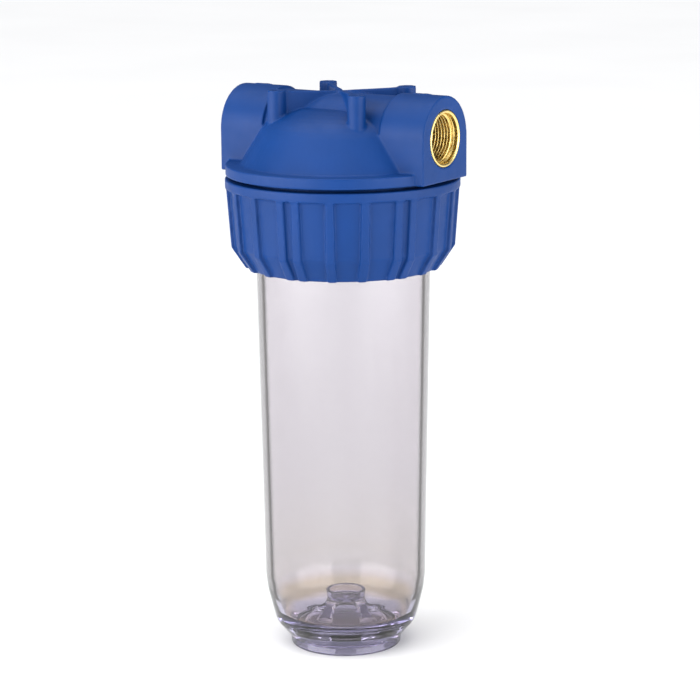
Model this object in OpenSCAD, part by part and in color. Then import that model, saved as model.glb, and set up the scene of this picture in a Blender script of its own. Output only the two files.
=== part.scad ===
// Three-piece cartridge filter housing for a ten inch cartridge.
// A head with two threaded ports, a ring nut, and a clear bowl with a foot ring.
// The origin is the centre of the foot ring, on the surface that it stands on.
// +Z is up. The ports lie along X: water enters at -X and leaves at +X.

/* [Ports] */
// Distance from the centre to each port face
port_face_x = 63.7; // [62:0.1:66]
// Height of the port axis
port_z = 283; // [282.5:0.1:283.5]
// Radius of the arched port bosses
boss_r = 22.2; // [21.5:0.1:22.8]
// Where each boss ends, on the centre's side
boss_inner_x = 36.5; // [35:0.1:38]
// Radius of the cross tube between the bosses
tube_r = 20.5; // [20:0.1:21]
// Outer radius of the brass inserts
insert_r = 15; // [14.6:0.1:15.4]
// Length of the brass inserts
insert_len = 16.8; // [15:0.1:18]
// Bore of the inserts, the minor radius of a G3/4 thread
insert_bore_r = 12.06; // [11.9:0.01:12.2]
// Radius of the water passages in the head
passage_r = 10; // [9:0.1:10.5]

/* [Head] */
// Radius of the flange
flange_r = 62.4; // [61.5:0.1:62.6]
// Height of the underside of the flange
flange_z = 260.5; // [260.3:0.1:261]
// Thickness of the flange
flange_t = 5.8; // [5:0.1:6.5]
// Radius of the cone where it leaves the flange
cone_base_r = 54.2; // [53.5:0.1:55]
// Radius of the cone at its shoulder
cone_top_r = 38; // [37.5:0.1:39]
// Height of the cone's shoulder
cone_top_z = 291.6; // [291:0.1:292]
// Height of the low dome over the cone, at the centre
dome_z = 297.5; // [296:0.1:299]

/* [Bracket posts] */
// Distance between post centres along the port axis
post_pitch_x = 50; // [49:0.5:51]
// Distance between post centres across the port axis
post_pitch_y = 50; // [49:0.5:51]
// Outer radius of the posts
post_r = 4.8; // [4.5:0.1:5]
// Radius of the screw holes
post_hole_r = 2.1; // [1.8:0.1:2.4]
// Height of the top of the posts
post_top_z = 305.8; // [305.4:0.1:306.5]
// Height of the bottom of the screw holes
post_hole_z = 291; // [290.6:0.1:293]
// Thickness of the two crossed ribs that join the posts
cross_rib_t = 2.6; // [2:0.1:3]

/* [Ring nut] */
// Height of the nut's lower edge
nut_z = 210.6; // [210:0.1:211]
// Height of the nut
nut_h = 48; // [47.5:0.1:48.5]
// Radius of the plain band round the top of the nut
nut_r = 62.8; // [62.5:0.1:63.2]
// Width of the plain band
nut_band_h = 5; // [4:0.1:6]
// Depth of the pockets between the grip ribs
grip_depth = 2; // [1.6:0.1:2.1]
// Width of a grip rib at its outer face
grip_rib_w = 4.2; // [3.8:0.1:4.6]
// Angle of the first close pair of ribs from the outlet
grip_phase = -24.9; // [-30:0.1:30]

/* [Thread] */
// Radius of the head's skirt, at the root of its thread
skirt_r = 53.4; // [53.2:0.1:53.5]
// Height of a thread ridge, which stands in the gap between skirt and nut
thread_h = 1.5; // [1.2:0.1:1.6]

/* [Bowl] */
// Radius of the foot ring
foot_r = 30.2; // [29.5:0.1:31]
// Height of the foot ring
foot_h = 4.4; // [4:0.1:4.8]
// Radius of the bowl at its lower shoulder
shoulder_r = 44; // [43.7:0.1:44.3]
// Radius of the bowl just under the nut
bowl_top_r = 46.7; // [46.4:0.1:46.8]
// Thickness of the bowl wall
bowl_wall = 3.1; // [2.8:0.1:3.3]
// Height of the bowl's floor, inside
floor_z = 11.7; // [11:0.1:12.5]
// Outer radius of the cartridge locator's tube
locator_r = 11.05; // [10.5:0.1:11.5]
// Height of the top of the locator
locator_top_z = 29.4; // [28.5:0.1:31]

/* [Hidden] */
$fn = 96;

// Clearance that lets a cut pass clean through a face
cut = 1;
// Overlap that joins two pieces of one solid
join = 0.4;
// Play round the parts that are moulded in or pressed in
seat_play = 0.03;

// The head's skirt, which carries the thread and the bore for the bowl's O-ring
skirt_bottom_z = 224.6;
skirt_bore_r = 49.5;
bore_lead_in = 1.2;

// The shoulder between cone and dome: its share of the cone, and the points of its curve
crown_reach = 0.28;
crown_steps = 6;

// The chamber in the head, parallel to the cone
roof_t = 4.6;
chamber_z = 262;
chamber_shoulder_z = cone_top_z - 4;
chamber_top_z = 290;

// The nozzle that seals on the cartridge and leads to the outlet
nozzle_seat_z = 265;
nozzle_seat_r = 18;
nozzle_seat_t = 5;
nozzle_spigot_r = 12.8;
nozzle_tip_z = 257;
nozzle_bore_r = 9;
outlet_wall_r = 14;
port_collar_t = 2.5;

// The O-ring behind each insert
insert_ring_cord_r = 1.2;
insert_ring_r = 12.8;
insert_seat_x = port_face_x - insert_len;
insert_ring_seat_x = insert_seat_x - 2 * insert_ring_cord_r;
insert_chamfer = 1.1;

// The nut's bore, at the root of its thread
thread_play = 0.5;
nut_bore_r = skirt_r + thread_h + thread_play;

// The ring nut's outline
nut_top_z = nut_z + nut_h;
grip_top_r = 62.3;
grip_low_r = 60;
grip_low_z = 222;
nut_foot_r = 52.4;
nut_hole_r = 47.6;
nut_ledge_z = 218;
nut_seat_r = 52.8;
nut_seat_top_z = 222.4;
grip_groups = 6;
grip_angles = [-21.3, -4.1, 4.1, 21.3];
grip_root_extra = 0.4;

// The bowl's outline, from the foot up
corner_r = 37.9;
corner_z = 13;
knee_r = 42.9;
knee_z = 31;
shoulder_z = 40;
collar_r = 52.4;
collar_h = 6;
rim_r = 48.9;
rim_top_z = 237;
rim_inner_r = bowl_top_r - bowl_wall - 0.2;
foot_w = 3.6;
base_z = 4.8;

// The bowl's O-ring and its groove
ring_cord_r = 1.6;
groove_r = 45.95;
groove_z = 226.6;
groove_h = 3.8;

// The cartridge locator on the bowl's floor
locator_wall = 1.9;
locator_foot_r = 19.5;
locator_waist_z = 21;
arch_r = 7.4;
arch_axis_z = 15.5;
arch_angles = [33, 123];

// The head

module arch_boss(side) {
    // A port boss: a half-round top on straight sides, down to the flange's underside
    length = port_face_x - boss_inner_x;
    start = (side > 0) ? boss_inner_x : -port_face_x;
    translate([start, 0, port_z])
        rotate([90, 0, 90])
            linear_extrude(length)
                union() {
                    circle(boss_r);
                    translate([-boss_r, flange_z - port_z])
                        square([2 * boss_r, port_z - flange_z]);
                }
}

function crown(t) =
    // The rounded shoulder, from the cone at 0 to the low dome at 1
    let (
        shoulder = [cone_top_r, cone_top_z],
        down = [cone_base_r, flange_z + flange_t] - shoulder,
        inward = [-0.4 * cone_top_r, 0.7 * (dome_z - cone_top_z)]
    )
    shoulder + (1 - t) * (1 - t) * crown_reach * down + t * t * inward;

module head_shell() {
    // Skirt, flange, cone and low dome, turned as one outline
    rotate_extrude()
        polygon([
            [0, skirt_bottom_z],
            [skirt_r - 0.8, skirt_bottom_z],
            [skirt_r, skirt_bottom_z + 0.8],
            [skirt_r, flange_z],
            [flange_r, flange_z],
            [flange_r, flange_z + flange_t],
            [cone_base_r, flange_z + flange_t],
            for (step = [0 : crown_steps]) crown(step / crown_steps),
            [0, dome_z]
        ]);
}

module head_chamber() {
    // The hollow of the skirt and the cone
    rotate_extrude()
        polygon([
            [0, skirt_bottom_z - cut],
            [skirt_bore_r + bore_lead_in, skirt_bottom_z - cut],
            [skirt_bore_r + bore_lead_in, skirt_bottom_z],
            [skirt_bore_r, skirt_bottom_z + bore_lead_in],
            [skirt_bore_r, chamber_z],
            [cone_top_r - roof_t + 2, chamber_shoulder_z],
            [0, chamber_top_z]
        ]);
}

module cross_ribs() {
    // Two crossed ribs between the posts, with tops that dip towards the middle
    reach = norm([post_pitch_x, post_pitch_y]) / 2;
    turn = atan2(post_pitch_y, post_pitch_x);
    for (angle = [turn, -turn])
        rotate([90, 0, angle])
            linear_extrude(cross_rib_t, center = true)
                polygon([
                    [-reach, post_hole_z - 1.2],
                    [reach, post_hole_z - 1.2],
                    [reach, post_top_z - 0.3],
                    [reach * 0.75, post_top_z - 0.6],
                    [0, post_top_z - 1.2],
                    [-reach * 0.75, post_top_z - 0.6],
                    [-reach, post_top_z - 0.3]
                ]);
}

module at_posts() {
    // Places its children at the four posts
    for (sx = [-1, 1])
        for (sy = [-1, 1])
            translate([sx * post_pitch_x / 2, sy * post_pitch_y / 2, 0])
                children();
}

module outlet_duct() {
    // The tube from the outlet and the nozzle that seals on the cartridge
    translate([-outlet_wall_r, 0, port_z])
        rotate([0, 90, 0])
            cylinder(h = boss_inner_x + 2 * outlet_wall_r, r = outlet_wall_r);
    translate([0, 0, nozzle_seat_z])
        cylinder(h = port_z - nozzle_seat_z, r = outlet_wall_r);
    translate([0, 0, nozzle_seat_z])
        cylinder(h = nozzle_seat_t, r = nozzle_seat_r);
    translate([0, 0, nozzle_tip_z])
        cylinder(h = nozzle_seat_z - nozzle_tip_z + join, r = nozzle_spigot_r);
    translate([0, 0, nozzle_seat_z - 0.8])
        difference() {
            cylinder(h = 0.8 + join, r = 16.2);
            translate([0, 0, -cut])
                cylinder(h = 0.8 + join + 2 * cut, r = 15.2);
        }
}

module port_collars() {
    // Walls round the seats of the insert O-rings, where the chamber comes close to them
    for (side = [-90, 90])
        translate([0, 0, port_z])
            rotate([0, side, 0])
                translate([0, 0, insert_ring_seat_x - port_collar_t])
                    cylinder(h = insert_len / 2, r = insert_r + port_collar_t);
}

module port_cuts(side) {
    // The pocket for an insert, the seat of its O-ring, and the passage behind them
    rotate([0, side * 90, 0]) {
        translate([0, 0, insert_seat_x])
            cylinder(h = insert_len + cut, r = insert_r + seat_play);
        translate([0, 0, insert_ring_seat_x])
            cylinder(h = 2 * insert_ring_cord_r + cut, r = insert_ring_r + insert_ring_cord_r + 0.1);
    }
}

module head() {
    color([0.05, 0.27, 0.6])
        difference() {
            union() {
                difference() {
                    union() {
                        head_shell();
                        translate([-boss_inner_x - 1, 0, port_z])
                            rotate([0, 90, 0])
                                cylinder(h = 2 * boss_inner_x + 2, r = tube_r);
                        arch_boss(-1);
                        arch_boss(1);
                        cross_ribs();
                        at_posts()
                            translate([0, 0, chamber_shoulder_z - 0.6])
                                cylinder(h = post_top_z - chamber_shoulder_z + 0.6, r = post_r);
                    }
                    head_chamber();
                }
                outlet_duct();
                port_collars();
            }
            at_posts()
                translate([0, 0, post_hole_z])
                    cylinder(h = post_top_z - post_hole_z + cut, r = post_hole_r);
            translate([0, 0, port_z]) {
                port_cuts(-1);
                port_cuts(1);
                rotate([0, 90, 0])
                    translate([0, 0, -nozzle_bore_r])
                        cylinder(h = port_face_x, r = passage_r);
                rotate([0, -90, 0])
                    translate([0, 0, nozzle_seat_r])
                        cylinder(h = port_face_x, r = passage_r);
            }
            translate([0, 0, nozzle_tip_z - cut])
                cylinder(h = port_z - nozzle_tip_z + cut, r = nozzle_bore_r);
        }
}

// The ring nut

module nut_outline(depth) {
    // The ribbed part of the nut, with its surface set in by depth
    rotate_extrude()
        polygon([
            [nut_hole_r, nut_z],
            [nut_foot_r - depth, nut_z],
            [grip_low_r - depth, grip_low_z + depth * 0.6],
            [grip_top_r - depth, nut_top_z - nut_band_h],
            [grip_top_r - depth, nut_top_z - 1],
            [nut_hole_r, nut_top_z - 1]
        ]);
}

module grip_ribs() {
    // Upright bars for the ribs, in groups of four: a close pair between two single ones
    root_x = nut_foot_r - 4;
    step_x = grip_low_r - 3;
    root_w = grip_rib_w + 2 * grip_root_extra;
    for (group = [0 : grip_groups - 1])
        for (turn = grip_angles)
            rotate([0, 0, grip_phase + group * 360 / grip_groups + turn])
                translate([0, 0, nut_z])
                    linear_extrude(nut_h - 1)
                        polygon([
                            [root_x, -root_w / 2],
                            [step_x, -root_w / 2],
                            [nut_r, -grip_rib_w / 2],
                            [nut_r, grip_rib_w / 2],
                            [step_x, root_w / 2],
                            [root_x, root_w / 2]
                        ]);
}

module nut_bore() {
    // The hole for the bowl, the seat of its collar, and the bore that takes the thread
    rotate_extrude()
        polygon([
            [0, nut_z - cut],
            [nut_hole_r, nut_z - cut],
            [nut_hole_r, nut_ledge_z],
            [nut_seat_r, nut_ledge_z],
            [nut_seat_r, nut_seat_top_z],
            [nut_bore_r, nut_seat_top_z + nut_bore_r - nut_seat_r],
            [nut_bore_r, nut_top_z + cut],
            [0, nut_top_z + cut]
        ]);
}

module ring_nut() {
    color([0.04, 0.25, 0.58])
        difference() {
            union() {
                nut_outline(grip_depth);
                translate([0, 0, nut_top_z - nut_band_h])
                    cylinder(h = nut_band_h, r = nut_r);
                intersection() {
                    nut_outline(0);
                    grip_ribs();
                }
            }
            nut_bore();
        }
}

// The bowl

module bowl_outline() {
    rotate_extrude()
        polygon([
            [0, base_z],
            [foot_r - foot_w - 0.6, base_z],
            [foot_r - foot_w, 0],
            [foot_r, 0],
            [foot_r + 0.3, foot_h],
            [corner_r, corner_z],
            [corner_r + 1.2, corner_z + 3],
            [knee_r, knee_z],
            [shoulder_r, shoulder_z],
            [bowl_top_r, nut_z],
            [bowl_top_r, nut_ledge_z],
            [collar_r, nut_ledge_z],
            [collar_r, nut_ledge_z + collar_h],
            [rim_r, nut_ledge_z + collar_h],
            [rim_r, groove_z],
            [groove_r, groove_z],
            [groove_r, groove_z + groove_h],
            [rim_r, groove_z + groove_h],
            [rim_r, rim_top_z - 1],
            [rim_r - 1, rim_top_z],
            [rim_inner_r, rim_top_z],
            [bowl_top_r - bowl_wall, nut_z],
            [shoulder_r - bowl_wall, shoulder_z],
            [knee_r - bowl_wall, knee_z + 1],
            [corner_r - 1.6, corner_z + 7],
            [corner_r - 6, corner_z + 2],
            [locator_foot_r + 3, floor_z],
            [0, floor_z]
        ]);
}

module arch_way() {
    // The outline of an arched way that stands on the bowl's floor
    translate([0, arch_axis_z])
        circle(arch_r);
    translate([-arch_r, floor_z])
        square([2 * arch_r, arch_axis_z - floor_z]);
}

module locator() {
    // A short tube on a flared skirt, with two crossed arched ways through the skirt
    difference() {
        rotate_extrude()
            polygon([
                [0, floor_z - join],
                [locator_foot_r, floor_z - join],
                [locator_foot_r - 3.3, floor_z + 4],
                [locator_r + 1, locator_waist_z],
                [locator_r - 0.8, locator_waist_z + 3],
                [locator_r, locator_top_z],
                [locator_r - locator_wall, locator_top_z],
                [locator_r - locator_wall - 1, locator_waist_z + 3],
                [0, locator_waist_z + 3]
            ]);
        for (angle = arch_angles)
            rotate([90, 0, angle])
                linear_extrude(2 * locator_foot_r + 2 * cut, center = true)
                    arch_way();
    }
}

module bowl() {
    color([0.86, 0.87, 0.9, 0.4])
        union() {
            bowl_outline();
            locator();
        }
}

// The seals and the inserts

module o_ring(middle_r, cord_r) {
    rotate_extrude()
        translate([middle_r, 0])
            circle(cord_r, $fn = 32);
}

module bowl_o_ring() {
    color([0.06, 0.06, 0.06])
        translate([0, 0, groove_z + groove_h / 2])
            o_ring(groove_r + ring_cord_r + seat_play, ring_cord_r);
}

module insert_body() {
    // A plain brass bush with a chamfered mouth: the bore is at the thread's minor radius
    rotate_extrude()
        polygon([
            [insert_bore_r, insert_seat_x],
            [insert_r, insert_seat_x],
            [insert_r, port_face_x],
            [insert_bore_r + insert_chamfer, port_face_x],
            [insert_bore_r, port_face_x - insert_chamfer]
        ]);
}

module at_port(side) {
    // Turns its children so that their +Z points out of a port
    translate([0, 0, port_z])
        rotate([0, side * 90, 0])
            children();
}

module inlet_insert() {
    color([0.85, 0.68, 0.3])
        at_port(-1)
            insert_body();
}

module outlet_insert() {
    color([0.85, 0.68, 0.3])
        at_port(1)
            insert_body();
}

module insert_o_ring(side) {
    color([0.06, 0.06, 0.06])
        at_port(side)
            translate([0, 0, insert_seat_x - insert_ring_cord_r])
                o_ring(insert_ring_r, insert_ring_cord_r - seat_play);
}

module inlet_insert_o_ring() {
    insert_o_ring(-1);
}

module outlet_insert_o_ring() {
    insert_o_ring(1);
}

head();
ring_nut();
bowl();
bowl_o_ring();
inlet_insert();
outlet_insert();
inlet_insert_o_ring();
outlet_insert_o_ring();
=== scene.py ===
"""Cartridge filter housing: the looks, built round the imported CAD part.

Every piece is made in the part's own frame: the origin is the centre of the foot ring, +Z is
up and the outlet faces +X. Sizes in this file are in millimetres until mesh() scales them.
"""

import math

import bmesh
import bpy
from mathutils import Matrix, Vector


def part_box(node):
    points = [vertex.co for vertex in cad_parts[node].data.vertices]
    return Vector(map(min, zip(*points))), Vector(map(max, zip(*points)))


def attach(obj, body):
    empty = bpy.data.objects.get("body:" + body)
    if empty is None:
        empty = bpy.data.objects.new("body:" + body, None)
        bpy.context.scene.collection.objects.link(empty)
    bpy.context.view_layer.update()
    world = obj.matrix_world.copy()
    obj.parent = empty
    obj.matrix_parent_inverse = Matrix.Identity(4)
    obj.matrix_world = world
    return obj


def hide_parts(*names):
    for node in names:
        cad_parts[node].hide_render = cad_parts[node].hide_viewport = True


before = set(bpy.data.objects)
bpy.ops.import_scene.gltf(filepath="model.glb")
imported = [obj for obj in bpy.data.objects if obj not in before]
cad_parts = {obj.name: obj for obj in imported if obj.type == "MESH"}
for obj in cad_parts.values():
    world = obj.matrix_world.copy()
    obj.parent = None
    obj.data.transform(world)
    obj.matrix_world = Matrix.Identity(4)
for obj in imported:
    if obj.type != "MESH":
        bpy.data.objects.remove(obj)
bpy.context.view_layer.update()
MM = 0.001

# Heights and distances that the frame gives
HEAD_LOW, HEAD_HIGH = [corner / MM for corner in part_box("head")]
NUT_LOW, NUT_HIGH = [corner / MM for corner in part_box("ring_nut")]
BOWL_LOW, BOWL_HIGH = [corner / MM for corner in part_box("bowl")]
INSERT_LOW, INSERT_HIGH = [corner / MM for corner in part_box("outlet_insert")]
PORT_Z = (INSERT_LOW.z + INSERT_HIGH.z) / 2
PORT_FACE_X = INSERT_HIGH.x
INSERT_R = INSERT_HIGH.y
INSERT_LEN = INSERT_HIGH.x - INSERT_LOW.x

# The G3/4 thread in the inserts
PIPE_PITCH = 1.814
PIPE_MINOR_R = 12.06
PIPE_MAJOR_R = 13.22
PIPE_LEAD_IN = 2.5

# The union thread between the head's skirt and the ring nut
UNION_PITCH = 6
UNION_TURNS = 3.75
UNION_START_Z = 230.5
UNION_HEIGHT = 1.5
UNION_BASE_W = 3
UNION_CREST_W = 1.7
SKIRT_R = 53.4
NUT_BORE_R = 55.4

# The port bosses on the head
BOSS_R = 22.2
BOSS_INNER_X = 36.5

# The floor inside the bowl
FLOOR_Z = 11.7
FLOOR_R = 22.5

# The colour sockets of a Mix node, which has a set of sockets for each type of data
MIX_FACTOR, MIX_A, MIX_B, MIX_RESULT = 0, 6, 7, 2

# Where the camera stands round the object: 0 looks along +Y
CAMERA_AZIMUTH = math.radians(32.88)


# Meshes

def mesh(name, points, faces):
    """A new object from points in millimetres, with its faces turned outwards."""
    data = bpy.data.meshes.new(name)
    data.from_pydata([Vector(p) * MM for p in points], [], faces)
    skin = bmesh.new()
    skin.from_mesh(data)
    bmesh.ops.recalc_face_normals(skin, faces=skin.faces)
    skin.to_mesh(data)
    skin.free()
    obj = bpy.data.objects.new(name, data)
    bpy.context.scene.collection.objects.link(obj)
    return obj


def only_selected(obj):
    bpy.ops.object.select_all(action="DESELECT")
    obj.select_set(True)
    bpy.context.view_layer.objects.active = obj


def apply_modifier(obj, kind, **settings):
    """Adds a modifier, sets it and applies it to the mesh."""
    only_selected(obj)
    modifier = obj.modifiers.new(kind, kind)
    for key, value in settings.items():
        setattr(modifier, key, value)
    bpy.ops.object.modifier_apply(modifier=modifier.name)
    return obj


def smooth(obj):
    only_selected(obj)
    bpy.ops.object.shade_smooth()
    return obj


def smooth_by_angle(obj, degrees):
    only_selected(obj)
    bpy.ops.object.shade_smooth_by_angle(angle=math.radians(degrees))
    return obj


def joined(objects, name):
    """One object from several, named name."""
    bpy.ops.object.select_all(action="DESELECT")
    for obj in objects:
        obj.select_set(True)
    bpy.context.view_layer.objects.active = objects[0]
    bpy.ops.object.join()
    objects[0].name = name
    objects[0].data.name = name
    return objects[0]


def boolean(obj, other, operation):
    """Cuts or adds a second closed mesh exactly, and removes it."""
    apply_modifier(obj, "BOOLEAN", operation=operation, solver="EXACT", object=other)
    bpy.data.objects.remove(other)
    return obj


def rounded(corners, steps=6):
    """Points of a closed outline from (x, y, radius) corners, each rounded by its radius."""
    points = []
    for i, (x, y, radius) in enumerate(corners):
        corner = Vector((x, y))
        if radius == 0:
            points.append(corner)
            continue
        before = Vector(corners[i - 1][:2]) - corner
        after = Vector(corners[(i + 1) % len(corners)][:2]) - corner
        reach = radius / math.tan(before.angle(after) / 2)
        start = corner + before.normalized() * min(reach, before.length * 0.48)
        end = corner + after.normalized() * min(reach, after.length * 0.48)
        for step in range(steps + 1):
            t = step / steps
            points.append(start.lerp(corner, t).lerp(corner.lerp(end, t), t))
    return points


def lathe(name, outline, segments=256):
    """Turns a closed outline of (radius, height) points round the Z axis."""
    points, rings, faces = [], [], []
    for radius, height in outline:
        if radius < 1e-6:
            rings.append([len(points)] * segments)
            points.append((0, 0, height))
            continue
        rings.append(list(range(len(points), len(points) + segments)))
        for s in range(segments):
            angle = 2 * math.pi * s / segments
            points.append((radius * math.cos(angle), radius * math.sin(angle), height))
    for ring, following in zip(rings, rings[1:] + rings[:1]):
        if ring[0] == ring[1] and following[0] == following[1]:
            continue
        for s in range(segments):
            n = (s + 1) % segments
            corners = [ring[s], ring[n], following[n], following[s]]
            faces.append(list(dict.fromkeys(corners)))
    return mesh(name, points, faces)


def prism(name, near, far):
    """A closed solid between two outlines with the same number of points."""
    n = len(near)
    faces = [tuple(reversed(range(n))), tuple(range(n, 2 * n))]
    for i in range(n):
        after = (i + 1) % n
        faces.append((i, after, n + after, n + i))
    return mesh(name, near + far, faces)


def union_ridge(name, root_r, direction, start_z):
    """The union thread's ridge. Direction 1 stands outwards, -1 inwards.

    It fades out over a sixth of a turn at both ends, and its root is buried in the wall.
    """
    per_turn = 144
    steps = round(UNION_TURNS * per_turn)
    fade, least = 6, 0.05
    bury = 0.6
    half = UNION_BASE_W / 2
    taper = (UNION_BASE_W - UNION_CREST_W) / 2
    foot_r = root_r - direction * bury
    points, faces = [], []
    for i in range(steps + 1):
        t = i / per_turn
        share = max(least, min(1, t * fade, (UNION_TURNS - t) * fade))
        angle = 2 * math.pi * t
        z = start_z + UNION_PITCH * t
        crest = half - taper * share
        crest_r = root_r + direction * UNION_HEIGHT * share
        section = (
            (foot_r, z - half), (crest_r, z - crest), (crest_r, z + crest), (foot_r, z + half),
        )
        for radius, level in section:
            points.append((radius * math.cos(angle), radius * math.sin(angle), level))
    for i in range(steps):
        for k in range(4):
            a, b = 4 * i + k, 4 * i + (k + 1) % 4
            faces.append((a, b, b + 4, a + 4))
    last = 4 * steps
    faces.append((3, 2, 1, 0))
    faces.append((last, last + 1, last + 2, last + 3))
    if direction > 0:
        faces = [tuple(reversed(face)) for face in faces]
    return mesh(name, points, faces)


def cad_copy(node, name):
    """A closed copy of a CAD node's mesh, to be worked on."""
    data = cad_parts[node].data.copy()
    obj = bpy.data.objects.new(name, data)
    bpy.context.scene.collection.objects.link(obj)
    obj.data.materials.clear()
    return apply_modifier(obj, "WELD", merge_threshold=1e-6)


def moulded(obj, voxel, passes, keep):
    """Rounds every edge and inside corner a little, as a mould does, in one closed skin.

    voxel is the remesh size, passes the smoothing, and keep the share of faces that stays.
    """
    apply_modifier(obj, "REMESH", mode="VOXEL", voxel_size=voxel * MM, use_smooth_shade=True)
    apply_modifier(obj, "SMOOTH", factor=0.5, iterations=passes)
    apply_modifier(obj, "DECIMATE", ratio=keep)
    return smooth(obj)


# The pieces

def flow_arrow(name, x, length):
    """A raised arrow on top of a port boss, which shows the way the water flows."""
    half_w, head_w, sink, proud = 1.1, 2.6, 1.5, 0.45
    shaft = length * 0.55
    outline = (
        (-length / 2, -half_w), (-length / 2 + shaft, -half_w), (-length / 2 + shaft, -head_w),
        (length / 2, 0),
        (-length / 2 + shaft, head_w), (-length / 2 + shaft, half_w), (-length / 2, half_w),
    )
    top = PORT_Z + BOSS_R
    low = [(x + px, py, top - sink) for px, py in outline]
    high = [(x + px, py, top + proud) for px, py in outline]
    return prism(name, low, high)


def make_head():
    body = cad_copy("head", "head_body")
    ridge = union_ridge("head_thread", SKIRT_R, 1, UNION_START_Z)
    middle, arrow_length = (BOSS_INNER_X + PORT_FACE_X) / 2, 11
    arrows = [flow_arrow("arrow", side * middle, arrow_length) for side in (-1, 1)]
    head = joined([body, ridge] + arrows, "head_moulding")
    return moulded(head, 0.55, 5, 0.45)


def make_ring_nut():
    body = cad_copy("ring_nut", "nut_body")
    ridge = union_ridge("nut_thread", NUT_BORE_R, -1, UNION_START_Z + UNION_PITCH / 2)
    nut = joined([body, ridge], "ring_nut_moulding")
    return moulded(nut, 0.5, 6, 0.5)


def bowl_outline():
    """The bowl's wall from the middle of its underside, up the outside and down the inside.

    A corner is its radius from the axis, its height and its rounding.
    """
    foot_r, foot_w, foot_h, base_z = 30.2, 3.6, 4.4, 4.8
    shoulder_r, waist_r, waist_z = 42.9, 44, 40
    top_r, wall, nut_z = 46.7, 3.1, NUT_LOW.z
    ledge_z, collar_r, collar_h = 218, 52.4, 6
    rim_r, rim_inner_r, rim_top_z = 48.9, 43.4, BOWL_HIGH.z
    groove_r, groove_z, groove_h = 45.95, 226.6, 3.8
    return rounded([
        (0, base_z, 0),
        (foot_r - foot_w - 0.6, base_z, 1.2),
        (foot_r - foot_w, 0, 0.7),
        (foot_r, 0, 0.9),
        (foot_r + 0.3, foot_h, 0.5),
        (37.9, 13, 6),
        (39.1, 16, 6),
        (shoulder_r, 31, 30),
        (waist_r, waist_z, 30),
        (top_r, nut_z, 0),
        (top_r, ledge_z, 0.5),
        (collar_r, ledge_z, 0.5),
        (collar_r, ledge_z + collar_h, 0.5),
        (rim_r, ledge_z + collar_h, 0.4),
        (rim_r, groove_z, 0.3),
        (groove_r, groove_z, 0.3),
        (groove_r, groove_z + groove_h, 0.3),
        (rim_r, groove_z + groove_h, 0.3),
        (rim_r, rim_top_z - 1, 0.4),
        (rim_r - 1, rim_top_z, 0.4),
        (rim_inner_r, rim_top_z, 0.6),
        (top_r - wall, nut_z, 0),
        (waist_r - wall, waist_z, 30),
        (shoulder_r - wall, 32, 30),
        (36.3, 20, 8),
        (31.9, 15, 8),
        (FLOOR_R, FLOOR_Z, 5),
        (0, FLOOR_Z, 0),
    ])


def locator():
    """The short tube that centres the cartridge, on a flared foot with two crossed ways."""
    tube_r, wall, foot_r, waist_z, top_z = 11.05, 1.9, 19.5, 21, 29.4
    sink, disc_r, disc_t = 2, 20.8, 0.9
    body = lathe("locator", rounded([
        (0, FLOOR_Z - sink, 0),
        (disc_r, FLOOR_Z - sink, 0),
        (disc_r, FLOOR_Z + disc_t, 0.3),
        (foot_r - 0.5, FLOOR_Z + disc_t, 0.5),
        (foot_r - 3.3, FLOOR_Z + 4, 4),
        (tube_r + 1, waist_z, 3),
        (tube_r - 0.8, waist_z + 3, 2),
        (tube_r, top_z, 0.5),
        (tube_r - wall, top_z, 0.5),
        (tube_r - wall - 1, waist_z + 3, 0.8),
        (0, waist_z + 3, 0),
    ]), 128)
    arch_r, arch_z, reach = 7.4, 15.5, foot_r + 4
    arc = [(arch_r * math.cos(a), arch_z + arch_r * math.sin(a))
           for a in [math.pi * s / 24 for s in range(25)]]
    sill = FLOOR_Z + disc_t
    outline = [(arch_r, sill)] + arc + [(-arch_r, sill)]
    for degrees in (33, 123):
        turn = Matrix.Rotation(math.radians(degrees), 3, "Z")
        near, far = [[turn @ Vector((end, y, z)) for y, z in outline] for end in (-reach, reach)]
        boolean(body, prism("arch", near, far), "DIFFERENCE")
    return moulded(body, 0.3, 3, 0.5)


def make_bowl():
    bowl = lathe("bowl_moulding", bowl_outline())
    boolean(bowl, locator(), "UNION")
    return smooth_by_angle(bowl, 35)


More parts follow.
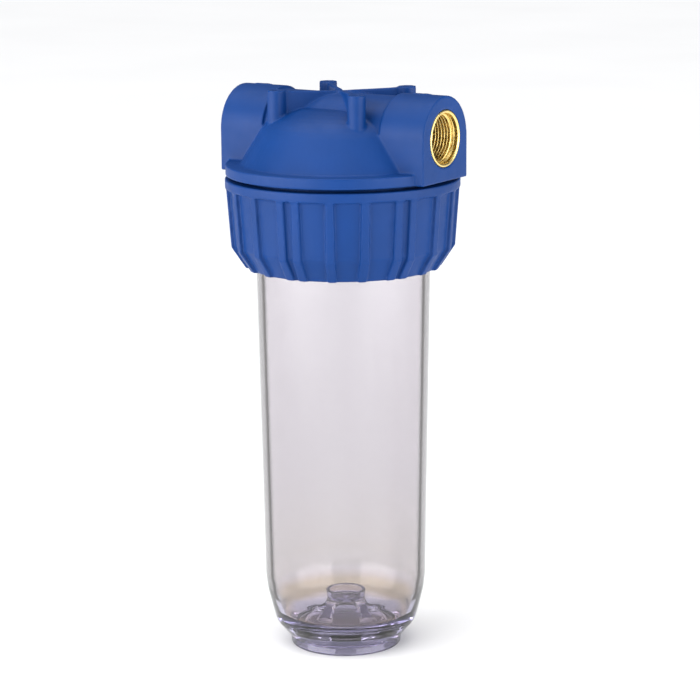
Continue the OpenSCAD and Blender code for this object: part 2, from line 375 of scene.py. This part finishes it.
def make_insert(name, side):
    """A brass bush with a real G3/4 thread, a plain lead-in and a knurled rim."""
    depth_steps, around = round(INSERT_LEN / 0.12), 192
    lead = PIPE_LEAD_IN
    teeth, tooth = 72, 0.28
    barrel_r, rim_w, chamfer = INSERT_R - 0.4, 3, 0.3
    mouth_r, mouth_depth = PIPE_MAJOR_R + 0.55, 0.45
    h = PIPE_MAJOR_R - PIPE_MINOR_R
    points, faces, rings = [], [], []

    def ring(radius_of, depth):
        """A ring at a depth behind the port face."""
        rings.append(len(points))
        for s in range(around):
            angle = 2 * math.pi * s / around
            radius = radius_of(angle)
            points.append((side * (PORT_FACE_X - depth), side * radius * math.cos(angle),
                           PORT_Z + radius * math.sin(angle)))

    def thread(depth):
        """The bore's radius round one ring: rounded crests and roots, faded at the mouth."""
        def radius(angle):
            turn = (depth / PIPE_PITCH + angle / (2 * math.pi)) % 1
            wave = 0.5 + 0.5 * math.cos(2 * math.pi * turn)
            profile = min(1, max(0, (wave - 0.14) / 0.72))
            share = min(1, max(0, (depth - lead) / (0.8 * PIPE_PITCH)))
            return PIPE_MAJOR_R - h * (1 - profile) * share
        return radius

    def knurl(angle):
        return INSERT_R - tooth * (0.5 + 0.5 * math.cos(teeth * angle))

    ring(lambda a: barrel_r - 0.2, INSERT_LEN)
    ring(lambda a: barrel_r - 0.1, INSERT_LEN - 0.4)
    ring(lambda a: barrel_r, rim_w)
    ring(knurl, rim_w - 0.4)
    ring(knurl, chamfer)
    ring(lambda a: knurl(a) - chamfer, 0)
    ring(lambda a: mouth_r, 0)
    ring(lambda a: PIPE_MAJOR_R + 0.1, mouth_depth)
    for step in range(1, depth_steps):
        depth = mouth_depth + (INSERT_LEN - mouth_depth) * step / depth_steps
        ring(thread(depth), depth)
    ring(lambda a: PIPE_MAJOR_R, INSERT_LEN)
    for a, b in zip(rings, rings[1:] + rings[:1]):
        for s in range(around):
            n = (s + 1) % around
            faces.append((a + s, a + n, b + n, b + s))
    return smooth_by_angle(mesh(name, points, faces), 75)


def make_o_ring(name, node, axis):
    """An O-ring with a fine moulding line round its outside."""
    low, high = [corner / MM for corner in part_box(node)]
    centre = (low + high) / 2
    size = high - low
    cord_r = (size.z if axis == "Z" else size.x) / 2
    middle_r = size.y / 2 - cord_r
    points, faces = [], []
    around, section, flash = 160, 28, 0.03
    for s in range(around):
        angle = 2 * math.pi * s / around
        for k in range(section):
            turn = 2 * math.pi * k / section
            proud = flash if k in (0, section // 2) else 0
            r = middle_r + (cord_r - flash + proud) * math.cos(turn)
            along = (cord_r - flash) * math.sin(turn)
            x, y = r * math.cos(angle), r * math.sin(angle)
            offset = (x, y, along) if axis == "Z" else (along, x, y)
            points.append(centre + Vector(offset))
    for s in range(around):
        for k in range(section):
            a, b = s * section, ((s + 1) % around) * section
            n = (k + 1) % section
            faces.append((a + k, b + k, b + n, a + n))
    return smooth(mesh(name, points, faces))


# Materials

class Nodes:
    """A short way to write a material's node tree."""

    def __init__(self, name):
        self.material = bpy.data.materials.new(name)
        self.material.use_nodes = True
        self.tree = self.material.node_tree
        self.shader = self.tree.nodes["Principled BSDF"]
        self.place = self.add("ShaderNodeTexCoord").outputs["Object"]

    def add(self, kind, **settings):
        node = self.tree.nodes.new(kind)
        for key, value in settings.items():
            setattr(node, key, value)
        return node

    def link(self, start, end):
        self.tree.links.new(start, end)

    def noise(self, scale, detail=3, roughness=0.5, stretch=(1, 1, 1)):
        """Noise in the object's own space, with scale in waves per metre."""
        mapping = self.add("ShaderNodeMapping")
        mapping.inputs["Scale"].default_value = stretch
        self.link(self.place, mapping.inputs["Vector"])
        noise = self.add("ShaderNodeTexNoise")
        noise.inputs["Scale"].default_value = scale
        noise.inputs["Detail"].default_value = detail
        noise.inputs["Roughness"].default_value = roughness
        self.link(mapping.outputs["Vector"], noise.inputs["Vector"])
        return noise.outputs["Fac"]

    def ramp(self, value, low, high, start=0.0, end=1.0):
        """Maps a value from start..end to low..high."""
        node = self.add("ShaderNodeMapRange", clamp=True)
        node.inputs["From Min"].default_value = start
        node.inputs["From Max"].default_value = end
        node.inputs["To Min"].default_value = low
        node.inputs["To Max"].default_value = high
        self.link(value, node.inputs["Value"])
        return node.outputs["Result"]

    def colours(self, value, stops):
        """A colour ramp from (position, colour) stops."""
        node = self.add("ShaderNodeValToRGB")
        elements = node.color_ramp.elements
        elements[0].position, elements[0].color = stops[0][0], (*stops[0][1], 1)
        elements[1].position, elements[1].color = stops[1][0], (*stops[1][1], 1)
        for position, colour in stops[2:]:
            elements.new(position).color = (*colour, 1)
        self.link(value, node.inputs["Fac"])
        return node.outputs["Color"]

    def mix(self, factor, a, b):
        node = self.add("ShaderNodeMix", data_type="RGBA")
        self.link(factor, node.inputs[MIX_FACTOR])
        self.link(a, node.inputs[MIX_A])
        self.link(b, node.inputs[MIX_B])
        return node.outputs[MIX_RESULT]

    def multiply(self, a, b):
        """The product of two colours."""
        node = self.add("ShaderNodeMix", data_type="RGBA", blend_type="MULTIPLY")
        node.inputs[MIX_FACTOR].default_value = 1
        self.link(a, node.inputs[MIX_A])
        self.link(b, node.inputs[MIX_B])
        return node.outputs[MIX_RESULT]

    def height_and_radius(self):
        """The height and the distance from the Z axis, in metres."""
        split = self.add("ShaderNodeSeparateXYZ")
        self.link(self.place, split.inputs["Vector"])
        flat = self.add("ShaderNodeVectorMath", operation="MULTIPLY")
        flat.inputs[1].default_value = (1, 1, 0)
        self.link(self.place, flat.inputs[0])
        radius = self.add("ShaderNodeVectorMath", operation="LENGTH")
        self.link(flat.outputs["Vector"], radius.inputs[0])
        return split.outputs["Z"], radius.outputs["Value"]

    def leaning(self, height, slope, radius):
        """The radius with a cone's lean taken out: height * slope + radius."""
        node = self.add("ShaderNodeMath", operation="MULTIPLY_ADD")
        self.link(height, node.inputs[0])
        node.inputs[1].default_value = slope
        self.link(radius, node.inputs[2])
        return node.outputs["Value"]

    def bump(self, heights):
        """Bump from (value, strength, distance in mm) layers."""
        normal = None
        for value, strength, distance in heights:
            node = self.add("ShaderNodeBump")
            node.inputs["Strength"].default_value = strength
            node.inputs["Distance"].default_value = distance * MM
            self.link(value, node.inputs["Height"])
            if normal is not None:
                self.link(normal, node.inputs["Normal"])
            normal = node.outputs["Normal"]
        self.link(normal, self.shader.inputs["Normal"])

    def set(self, **values):
        """Uniform values, on the shader's own sockets."""
        for key, value in values.items():
            self.shader.inputs[key.replace("_", " ")].default_value = value


def blue_plastic(name, base, bright):
    """Satin moulded polypropylene: fine grain, slight flow marks and rubbed patches."""
    n = Nodes(name)
    n.set(IOR=1.49, Specular_IOR_Level=0.2)
    cloud = n.noise(28, 4, 0.55)
    colour = n.colours(cloud, [(0.3, base), (0.72, bright)])
    n.link(colour, n.shader.inputs["Base Color"])
    wear = n.noise(140, 5, 0.6)
    n.link(n.ramp(wear, 0.42, 0.54, 0.3, 0.7), n.shader.inputs["Roughness"])
    n.bump([(n.noise(2600, 2, 0.5), 0.22, 0.04), (n.noise(240, 3, 0.5), 0.12, 0.12)])
    return n.material


def clear_plastic():
    """Clear styrene acrylonitrile, tinted by height and by the face of the wall.

    The base is lavender and the wall above is a faint mauve. The brown ring inside the lower
    corner is painted refraction of the surroundings, not the plastic's own tint. Both faces
    darken with painted shade where they are seen edge on, and the outer one has a narrow painted
    dark line beside its outline. Draw marks run along the wall, and it is lightly scuffed.
    """
    tint_top = 0.24
    past_foot = (0.029, 0.034)
    corner_slope, corner_edge = -0.36, (0.0300, 0.0306)
    draft_slope, outer_face_r = -0.0159, (0.0416, 0.0420)
    n = Nodes("clear_plastic")
    n.set(IOR=1.57, Transmission_Weight=1.0)
    z, radius = n.height_and_radius()
    height = n.ramp(z, 0, 1, 0, tint_top)
    upper = [(0.4, (0.71, 0.69, 0.70)), (1.0, (0.83, 0.81, 0.825))]
    # The brown stops (0.064 to 0.100 of the height) are painted refraction of the surroundings
    # seen through the lower corner.
    tint_with_painted_refraction = n.colours(height, [
        (0.0, (0.90, 0.90, 0.98)), (0.045, (0.86, 0.85, 0.97)), (0.064, (0.50, 0.37, 0.19)),
        (0.100, (0.52, 0.40, 0.22)), (0.125, (0.70, 0.675, 0.66)),
    ] + upper)
    lavender = n.colours(height, [
        (0.0, (0.88, 0.86, 1.0)), (0.10, (0.84, 0.81, 0.99)), (0.13, (0.70, 0.675, 0.68)),
    ] + upper)
    # Mask for the painted refraction ring: the inside face of the lower corner.
    painted_refraction_mask = n.ramp(n.leaning(z, corner_slope, radius), 0, 1, *corner_edge)
    tint = n.mix(painted_refraction_mask, tint_with_painted_refraction, lavender)
    tint = n.mix(n.ramp(radius, 0, 1, *past_foot), lavender, tint)
    streaks = n.noise(150, 3, 0.6, (1, 1, 0.03))
    drawn = n.colours(streaks, [(0.3, (0.965, 0.96, 0.965)), (0.7, (1, 1, 1))])
    # Painted shade: both faces darken where seen edge on, and the outer face gets a near-black
    # painted line just inside its outline, standing in for dark surroundings seen through the
    # wall.
    facing = n.add("ShaderNodeLayerWeight").outputs["Facing"]
    inner_painted_shade = n.colours(facing, [
        (0.0, (1, 1, 1)), (0.6, (0.95, 0.94, 0.94)), (0.82, (0.62, 0.60, 0.59)),
        (1.0, (0.25, 0.23, 0.22)),
    ])
    outer_painted_dark_line = n.colours(facing, [
        (0.0, (1, 1, 1)), (0.54, (0.92, 0.91, 0.91)), (0.605, (0.014, 0.012, 0.010)),
        (0.655, (0.008, 0.006, 0.005)), (0.70, (0.16, 0.155, 0.15)), (1.0, (0.10, 0.095, 0.09)),
    ])
    # The outer face takes the painted dark line, the inner face the softer painted shade.
    on_outer = n.ramp(n.leaning(z, draft_slope, radius), 0, 1, *outer_face_r)
    edge_on_painted_shade = n.mix(on_outer, inner_painted_shade, outer_painted_dark_line)
    n.link(n.multiply(n.multiply(tint, drawn), edge_on_painted_shade), n.shader.inputs["Base Color"])
    haze = n.add("ShaderNodeVolumeAbsorption")
    haze.inputs["Color"].default_value = (0.60, 0.56, 0.90, 1)
    haze.inputs["Density"].default_value = 14
    n.link(haze.outputs["Volume"], n.tree.nodes["Material Output"].inputs["Volume"])
    scuffs = n.noise(90, 6, 0.7, (1, 1, 0.4))
    n.link(n.ramp(scuffs, 0.012, 0.10, 0.62, 0.85), n.shader.inputs["Roughness"])
    n.bump([(streaks, 0.05, 0.10), (n.noise(35, 2, 0.4, (1, 1, 0.25)), 0.06, 0.25)])
    return n.material


def brass():
    """Turned brass: bright, a little cloudy, with fine turning rings round the port axis."""
    n = Nodes("brass")
    n.set(Metallic=1.0)
    cloud = n.noise(160, 4, 0.6)
    colour = n.colours(cloud, [(0.25, (0.80, 0.60, 0.20)), (0.75, (0.90, 0.71, 0.30))])
    n.link(colour, n.shader.inputs["Base Color"])
    n.link(n.ramp(n.noise(420, 4, 0.6), 0.22, 0.32, 0.3, 0.7), n.shader.inputs["Roughness"])
    n.bump([(n.noise(700, 2, 0.5, (3, 0.15, 0.15)), 0.05, 0.01)])
    return n.material


def rubber():
    """Black nitrile rubber with a faint bloom."""
    n = Nodes("seal_rubber")
    n.set(Specular_IOR_Level=0.35)
    bloom = n.noise(300, 4, 0.6)
    colour = n.colours(bloom, [(0.35, (0.012, 0.012, 0.013)), (0.8, (0.035, 0.035, 0.036))])
    n.link(colour, n.shader.inputs["Base Color"])
    n.link(n.ramp(bloom, 0.5, 0.7), n.shader.inputs["Roughness"])
    n.bump([(n.noise(2200, 2, 0.5), 0.15, 0.02)])
    return n.material


def dress(obj, body, node, material):
    """Gives a finished piece its body, its CAD node and its material."""
    obj.data.materials.clear()
    obj.data.materials.append(material)
    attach(obj, body)
    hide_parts(node)


# The studio

def floor():
    """A wide pale floor."""
    side = 9000
    obj = mesh("floor", [(-side, -side, 0), (side, -side, 0), (side, side, 0), (-side, side, 0)],
               [(0, 1, 2, 3)])
    n = Nodes("floor")
    n.set(Specular_IOR_Level=0.1)
    paint = n.noise(3, 2, 0.5)
    n.link(n.colours(paint, [(0.3, (0.87, 0.87, 0.872)), (0.7, (0.89, 0.89, 0.892))]),
           n.shader.inputs["Base Color"])
    n.link(n.ramp(paint, 0.75, 0.85), n.shader.inputs["Roughness"])
    obj.data.materials.append(n.material)


def soft_light(name, place, target, width, height, watts):
    """A wide softbox, in metres, that faces its target."""
    data = bpy.data.lights.new(name, "AREA")
    data.shape = "RECTANGLE"
    data.size = width
    data.size_y = height
    data.energy = watts
    obj = bpy.data.objects.new(name, data)
    obj.location = place
    obj.rotation_euler = (Vector(target) - Vector(place)).to_track_quat("-Z", "Y").to_euler()
    obj.visible_camera = False
    bpy.context.scene.collection.objects.link(obj)


def studio():
    """An even light from above, like a light tent's, and two low softboxes beside the camera."""
    world = bpy.data.worlds.new("studio")
    world.use_nodes = True
    background = world.node_tree.nodes["Background"]
    background.inputs["Color"].default_value = (0.93, 0.95, 1.0, 1)
    background.inputs["Strength"].default_value = 0.2
    bpy.context.scene.world = world
    bpy.context.scene.view_settings.view_transform = "Standard"
    data = bpy.data.lights.new("tent", "SUN")
    data.energy = 2.95
    data.angle = math.radians(75)
    tent = bpy.data.objects.new("tent", data)
    tent.rotation_euler = (math.radians(8), math.radians(-6), 0)
    bpy.context.scene.collection.objects.link(tent)
    middle, distance, box_z = Vector((0, 0, 0.2)), 1.5, 0.5
    box_w, box_h = 2.1, 0.95
    for name, degrees, watts in (("left", -60, 34), ("right", 58, 28)):
        angle = CAMERA_AZIMUTH + math.radians(degrees)
        away = Vector((math.sin(angle), -math.cos(angle), 0))
        place = away * distance + Vector((0, 0, box_z))
        soft_light(name, place, middle, box_w, box_h, watts)
    floor()


def camera():
    """The photograph's viewing angle: the lens and the small shift and roll come with it."""
    azimuth, elevation, roll = CAMERA_AZIMUTH, math.radians(12.675), math.radians(-0.44)
    distance, target = 1.3798, Vector((0, 0, 0.153))
    data = bpy.data.cameras.new("camera")
    data.sensor_width = 36
    data.lens = 130.89
    data.shift_x = 0.00836
    data.shift_y = 0.02822
    data.clip_end = 60
    towards = Vector((math.sin(azimuth) * math.cos(elevation),
                      -math.cos(azimuth) * math.cos(elevation), math.sin(elevation)))
    right = Vector((math.cos(azimuth), math.sin(azimuth), 0))
    up = towards.cross(right)
    rolled_right = math.cos(roll) * right + math.sin(roll) * up
    rolled_up = math.cos(roll) * up - math.sin(roll) * right
    obj = bpy.data.objects.new("camera", data)
    turn = Matrix((rolled_right, rolled_up, towards)).transposed().to_4x4()
    obj.matrix_world = Matrix.Translation(target + towards * distance) @ turn
    bpy.context.scene.collection.objects.link(obj)
    bpy.context.scene.camera = obj


camera()
studio()

HEAD_BLUE = blue_plastic("blue_plastic", (0.001, 0.031, 0.150), (0.002, 0.037, 0.178))
NUT_BLUE = blue_plastic("nut_plastic", (0.001, 0.030, 0.146), (0.002, 0.036, 0.174))
CLEAR = clear_plastic()
BRASS = brass()
RUBBER = rubber()

dress(make_head(), "head", "head", HEAD_BLUE)
dress(make_ring_nut(), "nut", "ring_nut", NUT_BLUE)
dress(make_bowl(), "bowl", "bowl", CLEAR)
dress(make_o_ring("bowl_seal", "bowl_o_ring", "Z"), "bowl", "bowl_o_ring", RUBBER)
for port, side in (("inlet", -1), ("outlet", 1)):
    node = port + "_insert"
    dress(make_insert(port + "_bush", side), "head", node, BRASS)
    seal = node + "_o_ring"
    dress(make_o_ring(port + "_seal", seal, "X"), "head", seal, RUBBER)
